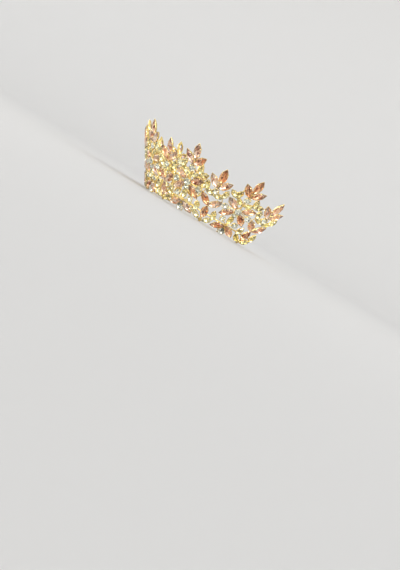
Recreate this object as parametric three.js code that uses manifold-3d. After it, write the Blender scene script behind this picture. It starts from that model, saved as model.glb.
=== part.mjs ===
// A bridal crown of gold claw settings and glass stones. Eleven soldered units, flowers and stars in turn,
// stand side by side on one base wire. They curve round an open back and lean outward like the wall of a cup.
// Millimetres, +Z up, front towards -Y, standing on its lower edge at Z = 0.

import * as THREE from "three";
import { ConvexGeometry } from "three/addons/geometries/ConvexGeometry.js";
import { mergeVertices } from "three/addons/utils/BufferGeometryUtils.js";
import Module from "manifold-3d";

const wasm = await Module();
wasm.setup();
const { degToRad } = THREE.MathUtils;

// Driving dimensions of the wall: a cone that widens upward
const RIM_RADIUS = 63;
const FLARE = degToRad(30);
const UNIT_TURN = degToRad(20);
const UNIT_COUNT = 11;
const FRONT_UNIT = (UNIT_COUNT - 1) / 2;

// Setting sizes seen from the front, tip to tip and side to side
const CUTS = {
  sprig_top: { length: 17.6, width: 7.6 },
  sprig_side: { length: 16.4, width: 7.2 },
  navette: { length: 15.8, width: 7.2 },
  leaf: { length: 10.8, width: 5.6 },
  long_leaf: { length: 11.6, width: 5.6 },
  bud: { length: 10.4, width: 4.8 },
  round: { length: 6.8, width: 6.8 },
  small_round: { length: 6, width: 6 },
  foot_round: { length: 8, width: 8 },
  hub_round: { length: 7.4, width: 7.4 },
};
const CUT_SIDES = 8;

// Depths of a setting and its stone along the wall's outward normal, measured from the wall
const BACK = -1.2;
const BACK_SHARE = 0.74;
const BACK_SIDES = 4;
const GIRDLE = 0.9;
const TABLE = 2.5;
const TABLE_SHARE = 0.55;
const CUP_RIM = 0.7;
const CUP_FLOOR = -0.7;
const CUP_ROOM_SHARE = 0.84;
const CUP_CLEARANCE = 0.5;
const LOOSE_CULET = -0.25;
const LOOSE_GIRDLE = 1.1;
const LOOSE_TABLE = 2.6;
const LOOSE_SHARE = 0.94;
const HUB_LIFT = 1.1;

// The solder bead that a star stands on, and the short links and stems between stones
const BEAD_BACK = -1;
const BEAD_FRONT = 0.8;
const BEAD_SIDES = 4;
const LINK_BACK = -0.6;
const LINK_FRONT = 0.5;

// Base wire, which runs behind every unit
const WIRE_RADIUS = 0.75;
const WIRE_SIDES = 6;
const WIRE_HEIGHT = 9.4;
const WIRE_GAP = 0.3;
const WIRE_STEPS = 30;
const WIRE_PAST_END_UNIT = degToRad(7);

// The block under the floor that cuts each unit flat where it stands
const FLOOR_BLOCK_SIDE = 4 * RIM_RADIUS;
const FLOOR_BLOCK_DEPTH = 10;

// Corners of a mesh this close are one corner
const SAME_CORNER = 1e-4;

// Stones soldered into a flower. x is along the wall from the flower's own middle line, v is up the wall,
// angle turns the long axis from the horizontal, and a paired stone has its mirror image on the other side.
const FLOWER_STONES = [
  { cut: "navette", x: 8.9, v: 35.7, angle: 27, paired: true },
  { cut: "navette", x: 8.1, v: 24.0, angle: -41, paired: true },
  { cut: "bud", x: 4.9, v: 40.5, angle: 32, paired: true },
  { cut: "leaf", x: 9.4, v: 46.9, angle: 100, paired: true },
  { cut: "leaf", x: 13.7, v: 44.7, angle: 30, paired: true },
  { cut: "round", x: 12.4, v: 28.6, angle: 0, paired: true },
  { cut: "small_round", x: 7.0, v: 15.8, angle: 0, paired: true },
  { cut: "navette", x: 6.2, v: 6.9, angle: -32, paired: true },
  { cut: "round", x: 0, v: 45.4, angle: 0, paired: false },
  { cut: "small_round", x: 0, v: 25.5, angle: 0, paired: false },
  { cut: "long_leaf", x: 0, v: 18.4, angle: 90, paired: false },
  { cut: "foot_round", x: 0, v: 3.6, angle: 0, paired: false },
];

const FLOWER_LINKS = [
  { x1: 0, v1: 33.5, x2: 0, v2: 43.2, width: 1.9, paired: false },
  { x1: 0, v1: 47.5, x2: 0, v2: 54.5, width: 1.3, paired: false },
  { x1: 0, v1: 6.5, x2: 0, v2: 14, width: 1.5, paired: false },
  { x1: 3, v1: 30.7, x2: 10.6, v2: 29.1, width: 0.9, paired: true },
  { x1: 0, v1: 11.2, x2: 5.8, v2: 15, width: 0.9, paired: true },
];

const FLOWER_HUB = { cut: "hub_round", x: 0, v: 31.2, angle: 0 };
const FLOWER_SPRIG_TIP = 71.3;

// Stones soldered into a star, in the same columns
const STAR_STONES = [
  { cut: "navette", x: 5.3, v: 24.8, angle: 46, paired: true },
  { cut: "long_leaf", x: 9.1, v: 13.5, angle: 99, paired: true },
  { cut: "leaf", x: 5.9, v: 5.4, angle: 40, paired: true },
  { cut: "leaf", x: 4.5, v: 33.4, angle: 18, paired: true },
  { cut: "leaf", x: 9.7, v: 39, angle: 80, paired: true },
  { cut: "navette", x: 0, v: 12.2, angle: 90, paired: false },
  { cut: "round", x: 0, v: 36.3, angle: 0, paired: false },
];

const STAR_FOOT_BEAD = { x: 0, v: 2.4, radius: 3 };

const STAR_LINKS = [
  { x1: 0, v1: 38.4, x2: 0, v2: 45.7, width: 1.3, paired: false },
  { x1: 10.2, v1: 29.6, x2: 8.4, v2: 34.2, width: 0.9, paired: true },
];

const STAR_SPRIG_TIP = 62.5;

// A sprig is one upright navette over two that spread; drops are measured down the wall from its tip
const SPRIG = [
  { name: "top", cut: "sprig_top", x: 0, drop: 8.8, angle: 90 },
  { name: "left", cut: "sprig_side", x: -5.6, drop: 16.6, angle: 132 },
  { name: "right", cut: "sprig_side", x: 5.6, drop: 16.6, angle: 48 },
];

const GOLD = new THREE.MeshStandardMaterial({ color: 0xd8b25c, metalness: 1, roughness: 0.25 });
const PEACH = new THREE.MeshStandardMaterial({ color: 0xe8ab88, metalness: 0, roughness: 0.08 });
const CLEAR = new THREE.MeshStandardMaterial({ color: 0xdfe6d6, metalness: 0, roughness: 0.05 });

// The matrix that lays a piece on the wall: its X runs along angle, its Z out along the wall's normal
function onWall({ x, v, angle = 0 }, depth = 0) {
  const radius = RIM_RADIUS + v * Math.sin(FLARE);
  const turn = x / radius;
  const outward = new THREE.Vector3(Math.sin(turn), -Math.cos(turn), 0);
  const along = new THREE.Vector3(Math.cos(turn), Math.sin(turn), 0);
  const upward = outward.clone().multiplyScalar(Math.sin(FLARE)).setZ(Math.cos(FLARE));
  const normal = along.clone().cross(upward);
  const place = outward.multiplyScalar(radius).setZ(v * Math.cos(FLARE)).addScaledVector(normal, depth);
  return new THREE.Matrix4()
    .makeBasis(along, upward, normal)
    .setPosition(place)
    .multiply(new THREE.Matrix4().makeRotationZ(degToRad(angle)));
}

// A turned solid about Z from rows of radius and height
function turned(profile, sides) {
  const points = profile.map(([radius, height]) => new THREE.Vector2(radius, height));
  return new THREE.LatheGeometry(points, sides).rotateX(Math.PI / 2);
}

// A place on a cut's outline, drawn in to a share of its size: two curved sides with tips, or a circle
function cutPlace(cut, share, turn) {
  const cosine = Math.cos(turn);
  const sine = Math.sin(turn);
  const pointed = cut.length > cut.width;
  const x = pointed ? cosine * Math.abs(cosine) : cosine;
  const y = pointed ? Math.sign(sine) * (1 - cosine ** 4) : sine;
  return [(share * x * cut.length) / 2, (share * y * cut.width) / 2];
}

function cutRing(cut, share, height, sides = CUT_SIDES) {
  const turns = Array.from({ length: sides }, (_, i) => (2 * Math.PI * i) / sides);
  return turns.map((turn) => new THREE.Vector3(...cutPlace(cut, share, turn), height));
}

// A setting with its stone as one solid: narrow back, girdle, crown facets and table
function fusedStone(cut) {
  const back = cutRing(cut, BACK_SHARE, BACK, BACK_SIDES);
  return new ConvexGeometry([...back, ...cutRing(cut, 1, GIRDLE), ...cutRing(cut, TABLE_SHARE, TABLE)]);
}

// An open cup for a stone that is a piece of its own, with a tapered room for the pavilion
function cup(cut, lift) {
  const outside = [...cutRing(cut, BACK_SHARE, BACK - lift, BACK_SIDES), ...cutRing(cut, 1, CUP_RIM)];
  const roomTop = CUP_RIM + CUP_CLEARANCE;
  const roomTopShare = (CUP_ROOM_SHARE * (roomTop - CUP_FLOOR)) / (CUP_RIM - CUP_FLOOR);
  const room = [new THREE.Vector3(0, 0, CUP_FLOOR), ...cutRing(cut, roomTopShare, roomTop)];
  return solid(new ConvexGeometry(outside)).subtract(solid(new ConvexGeometry(room)));
}

// A loose stone: pointed pavilion, girdle, crown facets and table
function looseStone(cut) {
  const girdle = cutRing(cut, LOOSE_SHARE, LOOSE_GIRDLE);
  const table = cutRing(cut, LOOSE_SHARE * TABLE_SHARE, LOOSE_TABLE);
  return new ConvexGeometry([new THREE.Vector3(0, 0, LOOSE_CULET), ...girdle, ...table]);
}

function bead({ radius }) {
  return turned([[0, BEAD_BACK], [radius, BEAD_BACK], [radius, BEAD_FRONT], [0, BEAD_FRONT]], BEAD_SIDES);
}

// A straight bar in the wall between two places
function link({ x1, v1, x2, v2, width }) {
  const depth = (LINK_BACK + LINK_FRONT) / 2;
  const start = new THREE.Vector3().setFromMatrixPosition(onWall({ x: x1, v: v1 }, depth));
  const end = new THREE.Vector3().setFromMatrixPosition(onWall({ x: x2, v: v2 }, depth));
  const angle = THREE.MathUtils.radToDeg(Math.atan2(v2 - v1, x2 - x1));
  const middle = onWall({ x: (x1 + x2) / 2, v: (v1 + v2) / 2, angle });
  middle.setPosition(start.clone().add(end).divideScalar(2));
  const bar = new THREE.BoxGeometry(start.distanceTo(end), width, LINK_FRONT - LINK_BACK);
  return solid(bar).transform(middle.elements);
}

function solid(geometry) {
  const bare = geometry.clone().deleteAttribute("normal").deleteAttribute("uv");
  const merged = mergeVertices(bare, SAME_CORNER);
  return new wasm.Manifold(
    new wasm.Mesh({
      numProp: 3,
      vertProperties: merged.getAttribute("position").array,
      triVerts: new Uint32Array(merged.index.array),
    }),
  );
}

function geometryOf(manifold) {
  const { vertProperties, triVerts } = manifold.getMesh();
  const geometry = new THREE.BufferGeometry();
  geometry.setAttribute("position", new THREE.BufferAttribute(vertProperties, 3));
  geometry.setIndex(new THREE.BufferAttribute(triVerts, 1));
  return geometry;
}

function bothSides(rows) {
  const mirrored = (row) =>
    "x1" in row ? { ...row, x1: -row.x1, x2: -row.x2 } : { ...row, x: -row.x, angle: 180 - (row.angle ?? 0) };
  return rows.flatMap((row) => (row.paired ? [row, mirrored(row)] : [row]));
}

function sprigPlaces(tip) {
  return SPRIG.map((row) => ({ ...row, v: tip - row.drop }));
}

// All the metal of a unit and the stones soldered into it, as one solid cut flat where it stands
function unitSetting({ stones, beads, links, sprigTip, hub }) {
  const placed = (piece, row, lift = 0) => piece.transform(onWall(row, lift).elements);
  const pieces = [
    ...bothSides(stones).map((row) => placed(solid(fusedStone(CUTS[row.cut])), row)),
    ...beads.map((row) => placed(solid(bead(row)), row)),
    ...bothSides(links).map(link),
    ...sprigPlaces(sprigTip).map((row) => placed(cup(CUTS[row.cut], 0), row)),
    ...(hub ? [placed(cup(CUTS[hub.cut], HUB_LIFT), hub, HUB_LIFT)] : []),
  ];
  const block = new THREE.BoxGeometry(FLOOR_BLOCK_SIDE, FLOOR_BLOCK_SIDE, FLOOR_BLOCK_DEPTH);
  const below = solid(block.translate(0, 0, -FLOOR_BLOCK_DEPTH / 2));
  return geometryOf(pieces.reduce((whole, piece) => whole.add(piece)).subtract(below));
}

function stoneMesh(name, row, material, depth = 0) {
  const mesh = new THREE.Mesh(looseStone(CUTS[row.cut]), material);
  mesh.name = name;
  mesh.applyMatrix4(onWall(row, depth));
  return mesh;
}

function unit(name, turn, settingGeometry, sprigTip, hub) {
  const group = new THREE.Group();
  group.rotation.z = turn;
  const setting = new THREE.Mesh(settingGeometry, GOLD);
  setting.name = `${name}_setting`;
  group.add(setting);
  for (const row of sprigPlaces(sprigTip)) {
    group.add(stoneMesh(`${name}_sprig_${row.name}`, row, PEACH));
  }
  if (hub) {
    group.add(stoneMesh(`${name}_hub_stone`, hub, CLEAR, HUB_LIFT));
  }
  return group;
}

// The base wire's path round the inside of the wall, from end unit to end unit
class WirePath extends THREE.Curve {
  getPoint(t, target = new THREE.Vector3()) {
    const reach = FRONT_UNIT * UNIT_TURN + WIRE_PAST_END_UNIT;
    const depth = BACK - WIRE_GAP - WIRE_RADIUS;
    target.setFromMatrixPosition(onWall({ x: 0, v: WIRE_HEIGHT }, depth));
    return target.applyAxisAngle(new THREE.Vector3(0, 0, 1), (2 * t - 1) * reach);
  }
}

function baseWire() {
  const circle = new THREE.EllipseCurve(0, 0, WIRE_RADIUS, WIRE_RADIUS);
  const section = new THREE.Shape(circle.getPoints(WIRE_SIDES));
  const tube = { steps: WIRE_STEPS, extrudePath: new WirePath(), bevelEnabled: false };
  const mesh = new THREE.Mesh(new THREE.ExtrudeGeometry(section, tube), GOLD);
  mesh.name = "base_wire";
  return mesh;
}

const flowerSetting = unitSetting({
  stones: FLOWER_STONES,
  beads: [],
  links: FLOWER_LINKS,
  sprigTip: FLOWER_SPRIG_TIP,
  hub: FLOWER_HUB,
});
const starSetting = unitSetting({
  stones: STAR_STONES,
  beads: [STAR_FOOT_BEAD],
  links: STAR_LINKS,
  sprigTip: STAR_SPRIG_TIP,
});

const wall = new THREE.Group();
wall.add(baseWire());
for (let i = 0; i < UNIT_COUNT; i++) {
  const turn = (i - FRONT_UNIT) * UNIT_TURN;
  const isFlower = i % 2 === FRONT_UNIT % 2;
  const number = Math.floor(i / 2) + 1;
  if (isFlower) {
    wall.add(unit(`flower_${number}`, turn, flowerSetting, FLOWER_SPRIG_TIP, FLOWER_HUB));
  } else {
    wall.add(unit(`star_${number}`, turn, starSetting, STAR_SPRIG_TIP));
  }
}

// The origin is under the middle of the crown's box, on the surface that it stands on
const middle = new THREE.Box3().setFromObject(wall, true).getCenter(new THREE.Vector3());
wall.position.set(-middle.x, -middle.y, 0);
const crown = new THREE.Group();
crown.add(wall);

export default crown;
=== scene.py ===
"""A bridal crown of gold claw settings and foil-backed glass stones, standing on its rim on a pale floor.

Sizes of the crown are in millimetres, as in its CAD source, and become metres as each piece is made.
"""

import copy
import itertools
import math

import bpy
import numpy as np
from mathutils import Matrix, Vector


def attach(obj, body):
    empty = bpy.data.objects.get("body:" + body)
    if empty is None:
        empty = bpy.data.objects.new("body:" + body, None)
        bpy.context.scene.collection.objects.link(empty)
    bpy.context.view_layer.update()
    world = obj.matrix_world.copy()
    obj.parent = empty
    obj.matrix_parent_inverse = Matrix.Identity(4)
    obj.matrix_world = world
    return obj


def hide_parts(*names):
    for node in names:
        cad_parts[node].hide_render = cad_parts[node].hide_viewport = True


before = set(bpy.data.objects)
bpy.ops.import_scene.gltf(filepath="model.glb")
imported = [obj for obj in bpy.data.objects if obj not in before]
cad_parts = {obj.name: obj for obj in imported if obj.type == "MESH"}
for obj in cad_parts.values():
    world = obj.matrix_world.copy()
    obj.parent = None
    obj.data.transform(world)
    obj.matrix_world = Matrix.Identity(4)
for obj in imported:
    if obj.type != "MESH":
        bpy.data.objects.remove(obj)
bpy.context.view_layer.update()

MILLIMETRE = 0.001
TAU = 2 * math.pi

# The wall: a cone that widens upward, with the units spaced evenly round it
RIM_RADIUS = 63.0
FLARE = math.radians(30)
UNIT_TURN = math.radians(20)
UNIT_COUNT = 11
FRONT_UNIT = (UNIT_COUNT - 1) // 2

# Setting sizes seen from the front: length tip to tip, width side to side, and the glass of the stone
CUTS = {
    "sprig_top": (17.6, 7.6, "peach"),
    "sprig_side": (16.4, 7.2, "peach"),
    "navette": (15.8, 7.2, "peach"),
    "leaf": (10.8, 5.6, "champagne"),
    "long_leaf": (11.6, 5.6, "champagne"),
    "bud": (10.4, 4.8, "champagne"),
    "round": (6.8, 6.8, "clear"),
    "small_round": (6.0, 6.0, "clear"),
    "foot_round": (8.0, 8.0, "clear"),
    "hub_round": (7.4, 7.4, "clear"),
}

# Stones of a flower: cut, place along the wall, place up it, turn of the long axis, and whether it is paired
FLOWER_STONES = [
    ("navette", 8.9, 35.7, 27, True),
    ("navette", 8.1, 24.0, -41, True),
    ("bud", 4.9, 40.5, 32, True),
    ("leaf", 9.4, 46.9, 100, True),
    ("leaf", 13.7, 44.7, 30, True),
    ("round", 12.4, 28.6, 0, True),
    ("small_round", 7.0, 15.8, 0, True),
    ("navette", 6.2, 6.9, -32, True),
    ("round", 0.0, 45.4, 0, False),
    ("small_round", 0.0, 25.5, 0, False),
    ("long_leaf", 0.0, 18.4, 90, False),
    ("foot_round", 0.0, 3.6, 0, False),
]
STAR_STONES = [
    ("navette", 5.3, 24.8, 46, True),
    ("long_leaf", 9.1, 13.5, 99, True),
    ("leaf", 5.9, 5.4, 40, True),
    ("leaf", 4.5, 33.4, 18, True),
    ("leaf", 9.7, 39.0, 80, True),
    ("navette", 0.0, 12.2, 90, False),
    ("round", 0.0, 36.3, 0, False),
]

# Stems between stones: start along and up the wall, end along and up the wall, width, and whether paired
FLOWER_STEMS = [
    (0.0, 33.5, 0.0, 43.2, 1.9, False),
    (0.0, 47.5, 0.0, 54.5, 1.3, False),
    (0.0, 6.5, 0.0, 14.0, 1.5, False),
    (3.0, 30.7, 10.6, 29.1, 0.9, True),
    (0.0, 11.2, 5.8, 15.0, 0.9, True),
]
STAR_STEMS = [
    (0.0, 38.4, 0.0, 45.7, 1.3, False),
    (10.2, 29.6, 8.4, 34.2, 0.9, True),
]
STEM_STEPS = 6
STEM_SIDES = 10

# Places up the wall: the hub stone with its lift off the wall, the units' tips, and a star's foot of solder
HUB_HEIGHT = 31.2
HUB_LIFT = 1.1
FLOWER_TIP = 71.3
STAR_TIP = 62.5
STAR_FOOT = (0.0, 2.4)
STAR_FOOT_SIZE = (1.7, 2.8, 0.9)

# A sprig's stones: name, cut, place along the wall, drop down the wall from the tip, turn of the long axis
SPRIG = [
    ("top", "sprig_top", 0.0, 8.8, 90),
    ("left", "sprig_side", -5.6, 16.6, 132),
    ("right", "sprig_side", 5.6, 16.6, 48),
]

# A stone's rings of corners: share of the setting's outline, height over the wall
TABLE = (0.56, 2.40)
CROWN_MIDDLE = (0.80, 1.80)
GIRDLE = (0.94, 0.98)
GIRDLE_FOOT = (0.94, 0.76)
BACK_MIDDLE = (0.47, -0.35)
CULET = (0.0, -0.95)
GIRDLE_POINTS = 16

# A setting's wall as rows of outline share, height and tone, from its open back round the rim to the seat;
# the tone is wear, lightest on the rim, and painted shade, darkest in the hollow back and the seat
SETTING_BACK = -1.20
SETTING_PROFILE = [
    (0.50, -0.80, 0.1),
    (0.52, -1.12, 0.4),
    (0.60, SETTING_BACK, 0.6),
    (0.72, -1.18, 0.6),
    (0.79, -1.02, 0.7),
    (0.86, -0.60, 0.4),
    (0.94, 0.05, 0.4),
    (0.985, 0.45, 0.7),
    (1.0, 0.70, 1.0),
    (0.995, 0.86, 1.0),
    (0.975, 0.96, 1.0),
    (0.955, 0.90, 1.0),
    (0.93, 0.62, 0.4),
    (0.86, 0.10, 0.1),
]
SETTING_POINTS = 32

# A claw's path as rows of reach past the outline, height, width, thickness and tone: wear, lightest at the
# tip, and painted shade, darkest at the root behind the setting
CLAW_PATH = [
    (-0.75, -1.00, 0.95, 0.40, 0.2),
    (-0.10, -0.20, 0.90, 0.45, 0.3),
    (0.15, 0.50, 0.85, 0.45, 0.6),
    (0.14, 0.94, 0.80, 0.45, 0.8),
    (-0.10, 1.30, 0.78, 0.42, 1.0),
    (-0.42, 1.66, 0.72, 0.38, 1.0),
    (-0.74, 2.00, 0.55, 0.30, 1.0),
    (-0.96, 2.14, 0.20, 0.12, 1.0),
]
CLAW_TURNS_POINTED = np.radians([50, 130, 230, 310])
CLAW_TURNS_ROUND = np.radians([45, 135, 225, 315])
CLAW_TANGENT_STEP = 0.01
CLAW_SIDES = 8

# The base wire behind the units, and the solder that holds them to it
WIRE_RADIUS = 0.75
WIRE_UP_WALL = 9.4
WIRE_GAP = 0.3
WIRE_DEPTH = SETTING_BACK - WIRE_GAP - WIRE_RADIUS
WIRE_PAST_END_UNIT = math.radians(7)
WIRE_STEPS = 160
WIRE_SIDES = 14
SOLDER_DEPTH = -1.7
SOLDER_SIZE = (1.5, 0.9, 0.9)
FLOWER_SOLDER = (-3.0, 3.0)
STAR_SOLDER = (-9.2, 0.0, 9.2)
SOLDER_END = math.radians(80)
SOLDER_ROWS = 7
SOLDER_SIDES = 12

# Settings of a unit that come this close are joined by a drop of solder behind their rims
JOINT_REACH = 1.3
JOINT_SHARE = 0.93
JOINT_HEIGHT = -0.45
JOINT_SIZE = (0.95, 0.95, 0.7)

# The tone of plain wire and solder, between wear and painted shade, and the angle past which an edge of the
# gold looks sharp
PLAIN_WEAR_AND_SHADE = 0.65
SHARP_ANGLE = math.radians(50)

# How far hand setting leaves stones from true, in degrees
SETTING_TILT = 2.2
SETTING_TWIST = 1.2

# The tone of a stone's foil: its mean and spread, then what each facet adds at random, and painted light
# that makes one side lighter and the other darker, and the edge lighter than the middle
FOIL_TONE = 0.66
STONE_SPREAD = 0.10
FACET_TONES = (-0.5, -0.2, 0.0, 0.15, 0.4)
PAINTED_SIDE_LIGHT_TONES = (-0.8, 0.8)
PAINTED_EDGE_LIGHT = 1.4
PAINTED_EDGE_LIGHT_MIDDLE = 0.22

SEED = 20
dice = np.random.default_rng(SEED)


def srgb(red, green, blue):
    """A linear colour from the usual 0 to 255 values."""
    shares = np.array([red, green, blue]) / 255
    linear = np.where(shares <= 0.04045, shares / 12.92, ((shares + 0.055) / 1.055) ** 2.4)
    return (*linear.tolist(), 1.0)


def turned(axis, angle):
    """A turn about an axis, as a matrix."""
    return np.array(Matrix.Rotation(angle, 3, axis))


def axis_depth():
    """Where the cone's axis lies on Y, from two hub stones on the same circle round it."""
    middles = []
    for node in ("flower_3_hub_stone", "flower_4_hub_stone"):
        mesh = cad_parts[node].data
        middles.append(np.mean([vertex.co for vertex in mesh.vertices], axis=0))
    front, side = middles
    return front[1] + side[0] / math.sin(2 * UNIT_TURN)


AXIS = np.array([0.0, axis_depth(), 0.0])


class Place:
    """A spot on the wall: three axes as columns, along the piece, across it and outward, and a point."""

    def __init__(self, along_wall, up_wall, depth=0.0, angle=0.0):
        radius = RIM_RADIUS + up_wall * math.sin(FLARE)
        turn = along_wall / radius
        outward = np.array([math.sin(turn), -math.cos(turn), 0.0])
        along = np.array([math.cos(turn), math.sin(turn), 0.0])
        upward = outward * math.sin(FLARE)
        upward[2] = math.cos(FLARE)
        normal = np.cross(along, upward)
        self.point = outward * radius + normal * depth
        self.point[2] += up_wall * math.cos(FLARE)
        self.axes = np.stack([along, upward, normal], axis=1) @ turned("Z", math.radians(angle))

    def shaken(self):
        """The same spot, as far from true as hand setting leaves it."""
        self.axes = self.axes @ turned("X", math.radians(dice.normal(0, SETTING_TILT)))
        self.axes = self.axes @ turned("Y", math.radians(dice.normal(0, SETTING_TILT)))
        self.axes = self.axes @ turned("Z", math.radians(dice.normal(0, SETTING_TWIST)))
        return self

    def put(self, points):
        """A piece's points, laid at this spot."""
        return np.asarray(points) @ self.axes.T + self.point

    def moved_to(self, point):
        """The same axes at another point."""
        other = copy.copy(self)
        other.point = point
        return other


# What the lamps that leave the floor alone light
CROWN = bpy.data.collections.new("crown")


class Heap:
    """Many small things, gathered in millimetres into one mesh, with a tone for each point or each face."""

    def __init__(self, tone_of):
        self.tone_of = tone_of
        self.points = []
        self.faces = []
        self.tones = []
        self.slots = []
        self.count = 0

    def add(self, points, faces, tones, slots=0):
        """One more thing, with faces that number its own points, and a material slot for all or for each."""
        self.points.append(points)
        self.faces += [tuple(corner + self.count for corner in face) for face in faces]
        self.count += len(points)
        self.tones.append(tones)
        self.slots.append(np.broadcast_to(slots, len(faces)))

    def piece(self, name, turn, materials, smooth):
        """The heap as an object, turned round the cone's axis and standing on the floor."""
        points = np.concatenate(self.points) @ turned("Z", turn).T * MILLIMETRE + AXIS
        points[:, 2] = np.maximum(points[:, 2], 0.0)
        mesh = bpy.data.meshes.new(name)
        mesh.from_pydata(points.tolist(), [], self.faces)
        layer = mesh.attributes.new("tone", "FLOAT", self.tone_of)
        layer.data.foreach_set("value", np.concatenate(self.tones).astype(np.float32))
        for material in materials:
            mesh.materials.append(material)
        mesh.polygons.foreach_set("material_index", np.concatenate(self.slots).astype(np.int32))
        mesh.polygons.foreach_set("use_smooth", [smooth] * len(mesh.polygons))
        if smooth:
            mesh.set_sharp_from_angle(angle=SHARP_ANGLE)
        piece = bpy.data.objects.new(name, mesh)
        bpy.context.scene.collection.objects.link(piece)
        CROWN.objects.link(piece)
        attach(piece, "root")
        return piece


def is_pointed(cut):
    """Whether a cut has two tips, as all but the rounds do."""
    length, width, _ = CUTS[cut]
    return length > width


def outline(cut, turns):
    """Points of a cut's outline: two curved sides that meet in tips, or a circle."""
    length, width, _ = CUTS[cut]
    x = np.cos(turns)
    y = np.sin(turns)
    if is_pointed(cut):
        y = np.sign(y) * (1 - x**4)
        x = x * np.abs(x)
    return np.stack([x * length / 2, y * width / 2], axis=1)


def ring(cut, turns, share, height):
    """A cut's outline, drawn in to a share of its size, at a height over the wall."""
    flat = outline(cut, turns) * share
    return np.column_stack([flat, np.full(len(flat), height)])


def skin(rows, sides, looped=False):
    """Faces through rows of points, each a closed loop. A looped skin joins the last row to the first."""
    faces = []
    for row in range(rows if looped else rows - 1):
        low = row * sides
        high = (row + 1) % rows * sides
        for side in range(sides):
            after = (side + 1) % sides
            faces.append((low + side, low + after, high + after, high + side))
    return faces


def capped_skin(rows, sides):
    """A skin with a flat face over each end."""
    last = (rows - 1) * sides
    caps = [tuple(reversed(range(sides))), tuple(range(last, last + sides))]
    return skin(rows, sides) + caps


def gem(cut):
    """Points of a brilliant-cut stone, the faces of its clear crown and those of its foiled back."""
    turns = np.arange(GIRDLE_POINTS) * TAU / GIRDLE_POINTS
    rows = [
        ring(cut, turns[0::2], *TABLE),
        ring(cut, turns[1::2], *CROWN_MIDDLE),
        ring(cut, turns, *GIRDLE),
        ring(cut, turns, *GIRDLE_FOOT),
        ring(cut, turns[1::2], *BACK_MIDDLE),
        ring(cut, turns[:1], *CULET),
    ]
    starts = np.cumsum([0] + [len(row) for row in rows[:-1]])
    table, middle, girdle, foot, back, culet = starts.tolist()
    half = GIRDLE_POINTS // 2
    crown_faces = [tuple(range(table, table + half))]
    back_faces = []
    for i in range(half):
        before = (i - 1) % half
        after = (i + 1) % half
        first, second, third = 2 * i, 2 * i + 1, 2 * after
        crown_faces += [
            (table + i, middle + i, table + after),
            (table + i, middle + before, girdle + first),
            (table + i, girdle + first, middle + i),
            (middle + i, girdle + first, girdle + second),
            (middle + i, girdle + second, girdle + third),
            (foot + first, foot + second, girdle + second, girdle + first),
            (foot + second, foot + third, girdle + third, girdle + second),
        ]
        back_faces += [
            (back + i, foot + second, foot + first),
            (back + i, foot + third, foot + second),
            (back + i, back + after, foot + third),
            (culet, back + after, back + i),
        ]
    return np.concatenate(rows), crown_faces, back_faces


def facet_tones(cut, points, faces):
    """What each foiled facet adds to its stone's tone: painted light towards one side and the edge, painted
    shade on the other side and in the middle, and uneven at random.
    """
    length, width, _ = CUTS[cut]
    middles = np.array([points[list(face), :2].mean(axis=0) for face in faces]) / (length, width)
    tones = dice.choice(FACET_TONES, len(faces))
    # Painted light: one long side of the stone lighter, the other darker
    tones += middles[:, 1] * dice.choice(PAINTED_SIDE_LIGHT_TONES)
    # Painted highlight towards the edge, painted shade in the middle
    tones += (np.linalg.norm(middles, axis=1) - PAINTED_EDGE_LIGHT_MIDDLE) * PAINTED_EDGE_LIGHT
    return tones


def add_stone(heap, cut, place):
    """A cut stone, with its clear faces in the first material and its foiled ones in the second."""
    points, crown_faces, back_faces = gem(cut)
    tone = FOIL_TONE + dice.normal(0, STONE_SPREAD)
    # The foiled facets' tones carry painted light and shade
    foiled = tone + facet_tones(cut, points, back_faces)
    tones = np.concatenate([np.full(len(crown_faces), tone), foiled])
    slots = np.repeat([0, 1], [len(crown_faces), len(back_faces)])
    heap.add(place.put(points), crown_faces + back_faces, tones.clip(0, 1), slots)


def lowered(height, lift):
    """A height in a setting, lowered behind the wall so that the back of a raised one stays in its place."""
    return height - lift if height < 0 else height


def add_setting(heap, cut, place, lift):
    """A setting's wall, open at the back, as its profile carried round the outline."""
    turns = np.arange(SETTING_POINTS) * TAU / SETTING_POINTS
    rows = [ring(cut, turns, share, lowered(height, lift)) for share, height, _ in SETTING_PROFILE]
    # Each row's tone: painted shade in the hollows, wear on the rim
    wear_and_shade = np.repeat([row_wear_and_shade for _, _, row_wear_and_shade in SETTING_PROFILE], SETTING_POINTS)
    heap.add(place.put(np.concatenate(rows)), skin(len(rows), SETTING_POINTS, looped=True), wear_and_shade)


def add_claws(heap, cut, place, lift):
    """Four claws that rise from behind a setting and bend over the edge of its stone."""
    turns = CLAW_TURNS_POINTED if is_pointed(cut) else CLAW_TURNS_ROUND
    roots = outline(cut, turns)
    tangents = outline(cut, turns + CLAW_TANGENT_STEP) - outline(cut, turns - CLAW_TANGENT_STEP)
    tangents /= np.linalg.norm(tangents, axis=1, keepdims=True)
    around = np.arange(CLAW_SIDES) * TAU / CLAW_SIDES
    wear_and_shade = np.repeat([row_wear_and_shade for *_, row_wear_and_shade in CLAW_PATH], CLAW_SIDES)
    for root, tangent in zip(roots, tangents):
        outward = np.array([tangent[1], -tangent[0], 0.0])
        sideways = np.array([*tangent, 0.0])
        path = np.array([[*root, 0.0] + outward * reach for reach, *_ in CLAW_PATH])
        path[:, 2] = [lowered(height, lift) for _, height, *_ in CLAW_PATH]
        heading = np.gradient(path, axis=0)
        rows = []
        for spot, ahead, (_, _, width, thickness, _) in zip(path, heading, CLAW_PATH):
            face = np.cross(ahead / np.linalg.norm(ahead), sideways)
            across = np.outer(np.cos(around), sideways) * width / 2
            rows.append(spot + across + np.outer(np.sin(around), face) * thickness / 2)
        heap.add(place.put(np.concatenate(rows)), capped_skin(len(rows), CLAW_SIDES), wear_and_shade)


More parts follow.
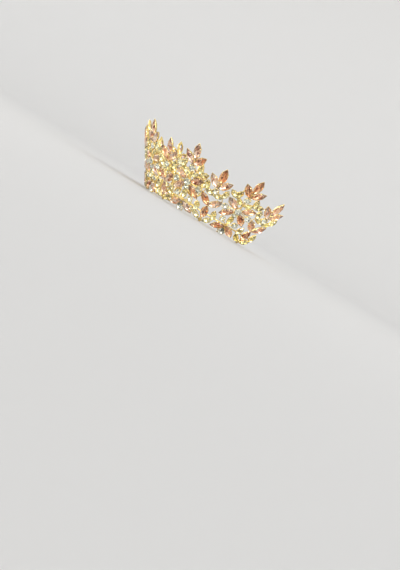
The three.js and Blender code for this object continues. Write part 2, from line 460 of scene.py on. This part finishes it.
def add_set_stone(gold, stones, cut, place, lift=0.0):
    """A stone with its setting and claws."""
    add_setting(gold, cut, place, lift)
    add_claws(gold, cut, place, lift)
    add_stone(stones, cut, place)


def add_wire(heap, path, radius, sides):
    """A round wire along a path that nowhere runs straight up."""
    path = np.asarray(path)
    around = np.arange(sides) * TAU / sides
    rows = []
    for spot, ahead in zip(path, np.gradient(path, axis=0)):
        level = np.cross(ahead, (0.0, 0.0, 1.0))
        level /= np.linalg.norm(level)
        rising = np.cross(ahead / np.linalg.norm(ahead), level)
        rows.append(spot + radius * (np.outer(np.cos(around), level) + np.outer(np.sin(around), rising)))
    points = np.concatenate(rows)
    heap.add(points, capped_skin(len(rows), sides), np.full(len(points), PLAIN_WEAR_AND_SHADE))


def add_solder(heap, place, size):
    """A rounded drop of solder."""
    around = np.arange(SOLDER_SIDES) * TAU / SOLDER_SIDES
    rows = []
    for slope in np.linspace(-SOLDER_END, SOLDER_END, SOLDER_ROWS):
        circle = np.column_stack([np.cos(around), np.sin(around)]) * math.cos(slope)
        rows.append(np.column_stack([circle, np.full(SOLDER_SIDES, math.sin(slope))]))
    points = place.put(np.concatenate(rows) * size)
    heap.add(points, capped_skin(SOLDER_ROWS, SOLDER_SIDES), np.full(len(points), PLAIN_WEAR_AND_SHADE))


def add_joints(heap, settings):
    """A drop of solder where each two settings come closest, if they meet."""
    turns = np.arange(SETTING_POINTS) * TAU / SETTING_POINTS
    walls = [place.put(ring(cut, turns, JOINT_SHARE, JOINT_HEIGHT)) for cut, place in settings]
    for first, second in itertools.combinations(range(len(settings)), 2):
        gaps = np.linalg.norm(walls[first][:, None] - walls[second][None], axis=2)
        if gaps.min() < JOINT_REACH:
            here, there = np.unravel_index(gaps.argmin(), gaps.shape)
            middle = (walls[first][here] + walls[second][there]) / 2
            _, place = settings[first]
            add_solder(heap, place.moved_to(middle), JOINT_SIZE)


def both_sides(stones):
    """Rows of stones with the mirror image of each paired one."""
    for cut, along, up, angle, paired in stones:
        yield cut, along, up, angle
        if paired:
            yield cut, -along, up, 180 - angle


def add_stems(heap, stems):
    """Stems of round wire that follow the wall."""
    shares = np.linspace(0, 1, STEM_STEPS)
    for along, up, end_along, end_up, width, paired in stems:
        for side in (1, -1) if paired else (1,):
            places = zip(side * (along + (end_along - along) * shares), up + (end_up - up) * shares)
            add_wire(heap, [Place(*place).point for place in places], width / 2, STEM_SIDES)


# Materials


def add_node(tree, kind, inputs=(), **settings):
    """A shader node with its settings, and its inputs set or linked."""
    made = tree.nodes.new(kind)
    for name, value in settings.items():
        setattr(made, name, value)
    for name, value in inputs:
        if isinstance(value, bpy.types.NodeSocket):
            tree.links.new(value, made.inputs[name])
        else:
            made.inputs[name].default_value = value
    return made


def new_material(name, **constants):
    """A material, its nodes and its shader, with the values that are the same all over it."""
    material = bpy.data.materials.new(name)
    material.use_nodes = True
    tree = material.node_tree
    shader = tree.nodes["Principled BSDF"]
    for constant, value in constants.items():
        shader.inputs[constant.replace("_", " ")].default_value = value
    return material, tree, shader


def ramp(tree, factor, stops):
    """A colour read from stops of position and colour."""
    made = add_node(tree, "ShaderNodeValToRGB", [("Fac", factor)])
    elements = made.color_ramp.elements
    while len(elements) < len(stops):
        elements.new(1.0)
    for element, (position, colour) in zip(elements, stops):
        element.position = position
        element.color = colour
    return made.outputs["Color"]


def span(tree, value, low, high):
    """A value from 0 to 1 spread over a range."""
    made = add_node(tree, "ShaderNodeMapRange", [("Value", value), ("To Min", low), ("To Max", high)])
    return made.outputs["Result"]


def noise(tree, scale, detail):
    """Soft noise fixed to the piece."""
    spot = add_node(tree, "ShaderNodeTexCoord").outputs["Object"]
    made = add_node(tree, "ShaderNodeTexNoise", [("Vector", spot), ("Scale", scale), ("Detail", detail)])
    return made.outputs["Fac"]


def tone(tree):
    """The tone that the mesh carries."""
    return add_node(tree, "ShaderNodeAttribute", attribute_name="tone").outputs["Fac"]


def worked_out(tree, operation, *values):
    """The result of one operation on values that are numbers or sockets."""
    made = add_node(tree, "ShaderNodeMath", enumerate(values), operation=operation)
    return made.outputs["Value"]


# Each noise is a scale and a detail, and each colour stop a position and a colour
GOLD_CLOUD = (260.0, 3.0)
GOLD_GRAIN = (2600.0, 2.0)
# The gold's least tone, where the painted shade in the hollows is deepest
GOLD_LEAST_WEAR_AND_SHADE = 0.1
GOLD_ROUGHNESS = (0.14, 0.32)
GOLD_BUMP_STRENGTH = 0.12
GOLD_BUMP_HEIGHT = 0.0001
# Gold colours from painted shade in the hollows to rubbed, bright rims
GOLD_STOPS = [
    (0.10, srgb(176, 144, 80)),
    (0.40, srgb(236, 210, 138)),
    (0.80, srgb(255, 243, 192)),
]


def gold_material():
    """Warm yellow plating, bright where it is rubbed, with painted shade that deepens it in the hollows, and
    a fine cast grain.
    """
    material, tree, shader = new_material("gold_plating", Metallic=1.0)
    cloud = noise(tree, *GOLD_CLOUD)
    # Painted shade and wear: the mesh's tone darkens the hollows and lightens the rims and claw tips
    wear_and_painted_shade = worked_out(tree, "MULTIPLY_ADD", tone(tree), cloud, GOLD_LEAST_WEAR_AND_SHADE)
    bump = add_node(tree, "ShaderNodeBump", [
        ("Strength", GOLD_BUMP_STRENGTH),
        ("Distance", GOLD_BUMP_HEIGHT),
        ("Height", noise(tree, *GOLD_GRAIN)),
    ])
    tree.links.new(ramp(tree, wear_and_painted_shade, GOLD_STOPS), shader.inputs["Base Color"])
    tree.links.new(span(tree, cloud, *GOLD_ROUGHNESS), shader.inputs["Roughness"])
    tree.links.new(bump.outputs["Normal"], shader.inputs["Normal"])
    return material


FOIL_STREAKS = (520.0, 2.0)
FOIL_STREAK_REACH = 0.3
FOIL_METAL = 0.85
FOIL_ROUGHNESS = 0.12
FOIL_STOPS = {
    "peach": [
        (0.0, srgb(124, 72, 54)),
        (0.25, srgb(246, 188, 152)),
        (0.5, srgb(255, 222, 198)),
        (0.8, srgb(255, 252, 248)),
    ],
    "champagne": [
        (0.0, srgb(150, 122, 56)),
        (0.25, srgb(244, 228, 162)),
        (0.5, srgb(254, 247, 208)),
        (0.8, srgb(255, 254, 238)),
    ],
    "clear": [
        (0.0, srgb(164, 164, 150)),
        (0.25, srgb(234, 233, 222)),
        (0.5, srgb(250, 250, 242)),
        (0.8, srgb(255, 255, 251)),
    ],
}


def foil_material(glass):
    """Lacquered foil on the back of a stone, each facet in its own tone, which carries painted light and
    shade, with fine streaks.
    """
    material, tree, shader = new_material(
        f"{glass}_foil", Metallic=FOIL_METAL, Roughness=FOIL_ROUGHNESS
    )
    streak = worked_out(tree, "MULTIPLY", noise(tree, *FOIL_STREAKS), FOIL_STREAK_REACH)
    level = worked_out(tree, "SUBTRACT", tone(tree), FOIL_STREAK_REACH / 2)
    factor = worked_out(tree, "ADD", streak, level)
    tree.links.new(ramp(tree, factor, FOIL_STOPS[glass]), shader.inputs["Base Color"])
    return material


GLASS_CLOUD = (60.0, 1.0)
GLASS_BENDING = 1.52
GLASS_STOPS = {
    "peach": [(0.36, srgb(255, 198, 144)), (0.48, srgb(255, 223, 190)), (0.64, srgb(255, 239, 226))],
    "champagne": [(0.36, srgb(252, 234, 160)), (0.48, srgb(254, 247, 208)), (0.64, srgb(254, 252, 234))],
    "clear": [(0.35, srgb(243, 245, 232)), (0.65, srgb(253, 255, 250))],
}


def glass_material(glass):
    """Lightly tinted glass whose colour drifts from stone to stone."""
    material, tree, shader = new_material(
        f"{glass}_glass", Transmission_Weight=1.0, Roughness=0.0, IOR=GLASS_BENDING
    )
    cloud = noise(tree, *GLASS_CLOUD)
    tree.links.new(ramp(tree, cloud, GLASS_STOPS[glass]), shader.inputs["Base Color"])
    return material


GOLD = gold_material()
STONE = {glass: (glass_material(glass), foil_material(glass)) for glass in FOIL_STOPS}


def make_unit(name, turn, stones, stems, tip, solder, is_flower):
    """One soldered unit: its gold work, the stones soldered into it and its main stones."""
    gold = Heap("POINT")
    fields = {glass: Heap("FACE") for glass in STONE}
    settings = []
    for cut, along, up, angle in both_sides(stones):
        _, _, glass = CUTS[cut]
        place = Place(along, up, angle=angle).shaken()
        settings.append((cut, place))
        add_set_stone(gold, fields[glass], cut, place)
    add_stems(gold, stems)
    for along in solder:
        add_solder(gold, Place(along, WIRE_UP_WALL, SOLDER_DEPTH), SOLDER_SIZE)
    mains = []
    for part, cut, along, drop, angle in SPRIG:
        mains.append((f"{name}_sprig_{part}", cut, Place(along, tip - drop, angle=angle), 0.0))
    if is_flower:
        mains.append((f"{name}_hub_stone", "hub_round", Place(0.0, HUB_HEIGHT, HUB_LIFT), HUB_LIFT))
    else:
        add_solder(gold, Place(*STAR_FOOT), STAR_FOOT_SIZE)
    for node, cut, place, lift in mains:
        _, _, glass = CUTS[cut]
        stone = Heap("FACE")
        settings.append((cut, place.shaken()))
        add_set_stone(gold, stone, cut, place, lift)
        piece = stone.piece(f"{node}_cut", turn, STONE[glass], smooth=False)
        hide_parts(node)
    add_joints(gold, settings)
    for glass, field in fields.items():
        if field.count:
            piece = field.piece(f"{name}_{glass}_stones", turn, STONE[glass], smooth=False)
    piece = gold.piece(f"{name}_gold_work", turn, [GOLD], smooth=True)
    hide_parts(f"{name}_setting")


def make_base_wire():
    """The wire that runs behind every unit, from one end of the crown to the other."""
    reach = FRONT_UNIT * UNIT_TURN + WIRE_PAST_END_UNIT
    start = Place(0.0, WIRE_UP_WALL, WIRE_DEPTH).point
    path = [turned("Z", turn) @ start for turn in np.linspace(-reach, reach, WIRE_STEPS)]
    heap = Heap("POINT")
    add_wire(heap, path, WIRE_RADIUS, WIRE_SIDES)
    piece = heap.piece("base_wire_drawn", 0.0, [GOLD], smooth=True)
    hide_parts("base_wire")


def make_crown():
    """The base wire and the units round it, flowers and stars in turn."""
    make_base_wire()
    for unit in range(UNIT_COUNT):
        turn = (unit - FRONT_UNIT) * UNIT_TURN
        number = unit // 2 + 1
        if unit % 2 == FRONT_UNIT % 2:
            make_unit(f"flower_{number}", turn, FLOWER_STONES, FLOWER_STEMS, FLOWER_TIP, FLOWER_SOLDER, True)
        else:
            make_unit(f"star_{number}", turn, STAR_STONES, STAR_STEMS, STAR_TIP, STAR_SOLDER, False)


# Floor, light and camera, in metres

FLOOR_MIDDLE = 0.01
FLOOR_REACH = 1.5
SWEEP_RADIUS = 0.9
SWEEP_STEPS = 16
WALL_TOP = 1.5
FLOOR_SIDES = 128
FLOOR_ROUGHNESS = (0.55, 0.65)
FLOOR_CLOUD = (3.0, 2.0)
# Painted shade on the floor: darker near the middle, where the lamps light it, and lighter towards the wall,
# so that the floor looks evenly lit
FLOOR_SHADE_REACH = 2.8
FLOOR_SHADE_STOPS = [
    (0.05, (0.70, 0.69, 0.67, 1.0)),
    (0.50, (0.76, 0.75, 0.73, 1.0)),
    (0.62, (0.80, 0.79, 0.77, 1.0)),
    (0.90, (0.90, 0.89, 0.87, 1.0)),
]
SKY_TONE = (0.97, 0.98, 1.0, 1.0)
SKY_STRENGTH = 1.0

# Lamps: azimuth, elevation, distance, width, height, power, spread in degrees, tone, and if the floor is lit
LAMPS = {
    "key": (20, 50, 1.2, 0.6, 0.6, 0.8, 120, (1.0, 0.97, 0.92), True),
    "fill": (130, 35, 1.2, 0.4, 0.4, 0.4, 120, (0.95, 0.97, 1.0), True),
    "front": (62, 14, 1.3, 1.2, 0.6, 12.0, 180, (1.0, 0.99, 0.97), False),
    "other_side": (-62, 14, 1.3, 1.2, 0.6, 8.0, 180, (1.0, 0.99, 0.97), False),
    "spark": (40, 22, 1.3, 0.08, 0.08, 0.3, 60, (1.0, 1.0, 1.0), False),
    "glint": (84, 8, 1.3, 0.08, 0.08, 0.3, 60, (1.0, 1.0, 1.0), False),
}

# The camera, and how far the middle of the rim lies from the picture's middle, in pixels
IMAGE_HEIGHT = 570
CAMERA_AZIMUTH = math.radians(61.6)
CAMERA_ELEVATION = math.radians(1.0)
CAMERA_LEAN = math.radians(30.8)
CAMERA_DISTANCE = 1.0
CAMERA_LENS = 63.0
CAMERA_SENSOR = 36.0
CAMERA_NEAREST = 0.005
RIM_RIGHT_OF_MIDDLE = 1.0
RIM_ABOVE_MIDDLE = 64.0


def floor_material():
    """Pale matt paint with painted shade, darker near the middle where the lamps light it most, and a little
    lighter towards the wall.
    """
    material, tree, shader = new_material("floor_paint")
    spot = add_node(tree, "ShaderNodeTexCoord").outputs["Object"]
    reach = add_node(tree, "ShaderNodeVectorMath", [(0, spot)], operation="LENGTH").outputs["Value"]
    share = worked_out(tree, "DIVIDE", reach, FLOOR_SHADE_REACH)
    tree.links.new(ramp(tree, share, FLOOR_SHADE_STOPS), shader.inputs["Base Color"])
    cloud = noise(tree, *FLOOR_CLOUD)
    tree.links.new(span(tree, cloud, *FLOOR_ROUGHNESS), shader.inputs["Roughness"])
    return material


def make_floor():
    """A pale floor that sweeps up into a wall all round, so that no edge shows behind the crown."""
    bends = np.linspace(math.pi / 2, 0, SWEEP_STEPS)
    reach = [FLOOR_REACH + SWEEP_RADIUS, *(FLOOR_REACH + SWEEP_RADIUS * np.sin(bends)), FLOOR_MIDDLE]
    rise = [WALL_TOP, *(SWEEP_RADIUS * (1 - np.cos(bends))), 0.0]
    around = np.arange(FLOOR_SIDES) * TAU / FLOOR_SIDES
    rows = []
    for radius, height in zip(reach, rise):
        circle = np.column_stack([np.cos(around), np.sin(around)]) * radius
        rows.append(np.column_stack([circle, np.full(FLOOR_SIDES, height)]))
    middle = (len(rows) - 1) * FLOOR_SIDES
    faces = skin(len(rows), FLOOR_SIDES)
    faces.append(tuple(range(middle, middle + FLOOR_SIDES)))
    mesh = bpy.data.meshes.new("floor")
    mesh.from_pydata(np.concatenate(rows).tolist(), [], faces)
    mesh.polygons.foreach_set("use_smooth", [True] * len(mesh.polygons))
    mesh.materials.append(floor_material())
    floor = bpy.data.objects.new("floor", mesh)
    bpy.context.scene.collection.objects.link(floor)


def away(azimuth, elevation):
    """The way from the crown to something that looks at it."""
    level = math.cos(elevation)
    return Vector((math.sin(azimuth) * level, -math.cos(azimuth) * level, math.sin(elevation)))


def make_lamp(name, azimuth, elevation, distance, width, height, power, spread, tint, on_floor):
    """A soft lamp that faces the crown."""
    lamp = bpy.data.lights.new(name, "AREA")
    lamp.shape = "RECTANGLE"
    lamp.size = width
    lamp.size_y = height
    lamp.energy = power
    lamp.spread = math.radians(spread)
    lamp.color = tint
    back = away(math.radians(azimuth), math.radians(elevation))
    holder = bpy.data.objects.new(name, lamp)
    holder.location = Vector(AXIS) + back * distance
    holder.rotation_euler = back.to_track_quat("Z", "Y").to_euler()
    holder.visible_camera = False
    if not on_floor:
        holder.light_linking.receiver_collection = CROWN
    bpy.context.scene.collection.objects.link(holder)


def make_world():
    """An even pale sky."""
    world = bpy.data.worlds.new("studio")
    world.use_nodes = True
    background = world.node_tree.nodes["Background"]
    background.inputs["Color"].default_value = SKY_TONE
    background.inputs["Strength"].default_value = SKY_STRENGTH
    bpy.context.scene.world = world


def make_camera():
    """The photograph's view of the crown, raised to just above the floor and leaning as it does there."""
    back = away(CAMERA_AZIMUTH, CAMERA_ELEVATION)
    level = Vector((math.cos(CAMERA_AZIMUTH), math.sin(CAMERA_AZIMUTH), 0.0))
    upright = back.cross(level)
    right = math.cos(CAMERA_LEAN) * level + math.sin(CAMERA_LEAN) * upright
    up = math.cos(CAMERA_LEAN) * upright - math.sin(CAMERA_LEAN) * level
    pixel = CAMERA_DISTANCE * CAMERA_SENSOR / CAMERA_LENS / IMAGE_HEIGHT
    rim = Vector(AXIS)
    place = rim + back * CAMERA_DISTANCE
    aim = rim - right * RIM_RIGHT_OF_MIDDLE * pixel - up * RIM_ABOVE_MIDDLE * pixel
    behind = (place - aim).normalized()
    right = (right - behind * right.dot(behind)).normalized()
    up = behind.cross(right)
    camera = bpy.data.cameras.new("camera")
    camera.lens = CAMERA_LENS
    camera.sensor_width = CAMERA_SENSOR
    camera.clip_start = CAMERA_NEAREST
    holder = bpy.data.objects.new("camera", camera)
    axes = Matrix((right, up, behind)).transposed().to_4x4()
    holder.matrix_world = Matrix.Translation(place) @ axes
    bpy.context.scene.collection.objects.link(holder)
    bpy.context.scene.camera = holder


make_crown()
make_floor()
make_world()
for lamp_name, lamp_row in LAMPS.items():
    make_lamp(lamp_name, *lamp_row)
make_camera()
bpy.context.scene.view_settings.view_transform = "Standard"
